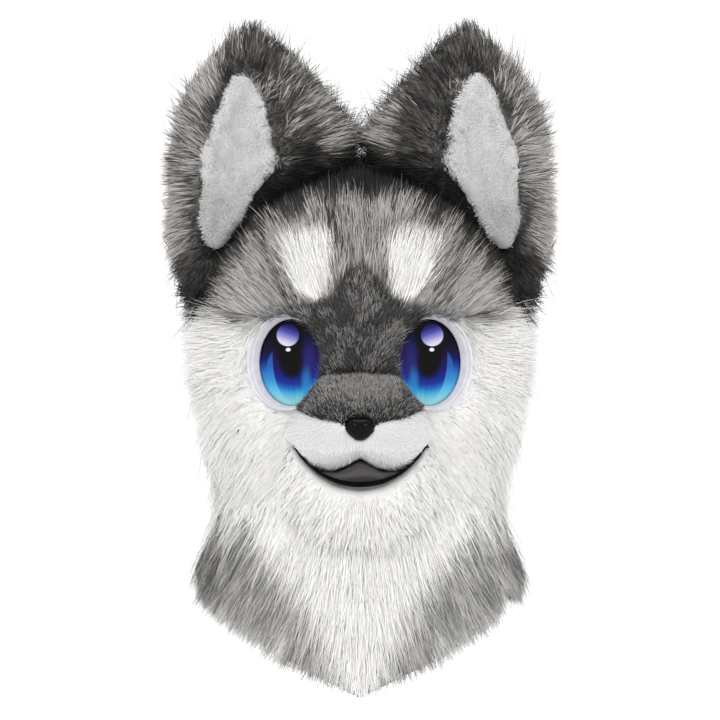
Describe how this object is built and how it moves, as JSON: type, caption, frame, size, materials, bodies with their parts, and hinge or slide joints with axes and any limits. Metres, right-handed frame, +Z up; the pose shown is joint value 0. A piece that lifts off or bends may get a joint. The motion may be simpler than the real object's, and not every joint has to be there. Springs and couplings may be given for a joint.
{
  "type": "fursuit head",
  "caption": "Hollow husky fursuit head with upright ears, blue mesh eyes, short muzzle and a furred neck skirt, worn over the head.",
  "frame": {"origin": "the top of the hollow, where the wearer's crown sits", "axes": "+Z up, the face looks towards -Y, +X is the wearer's left"},
  "size_m": [0.3104, 0.3248, 0.537],
  "materials": {
    "foam": "charcoal upholstery foam, matte",
    "lycra": "dark stretch lining cloth",
    "grey_fur": "long-pile faux fur, grey-beige with black-tipped guard hair",
    "ear_fur": "long-pile faux fur, grey with a dark edge",
    "dark_pile": "short dense faux fur, charcoal",
    "bridge_pile": "short dense faux fur, mid grey",
    "white_fur": "long-pile faux fur, off-white",
    "white_pile": "short-pile faux fur, off-white",
    "ear_pile": "short curly pile, pale grey-white",
    "eye_plastic": "white printed plastic, satin",
    "iris_mesh": "printed see-through mesh, blue iris with a black pupil",
    "nose_resin": "gloss black cast resin",
    "lip_vinyl": "black smooth vinyl",
    "mouth_felt": "dark grey felt"
  },
  "bodies": {
    "root": {"foam_crown": "foam", "foam_face": "foam", "foam_back": "foam", "foam_left": "foam", "foam_right": "foam", "neck_skirt": "lycra", "crown_fur": "grey_fur", "back_fur": "grey_fur", "face_mask": "dark_pile", "muzzle": "white_pile", "muzzle_bridge": "bridge_pile", "mouth_lining": "mouth_felt", "lip": "lip_vinyl", "jaw": "white_pile", "nose": "nose_resin", "bib_fur": "white_fur", "neck_fur_back": "grey_fur", "cheek_fur_left": "white_fur", "neck_fur_left": "grey_fur", "brow_spot_left": "white_fur", "ear_left": "ear_fur", "ear_lining_left": "ear_pile", "eye_white_left": "eye_plastic", "eye_iris_left": "iris_mesh", "cheek_fur_right": "white_fur", "neck_fur_right": "grey_fur", "brow_spot_right": "white_fur", "ear_right": "ear_fur", "ear_lining_right": "ear_pile", "eye_white_right": "eye_plastic", "eye_iris_right": "iris_mesh"}
  },
  "joints": []
}
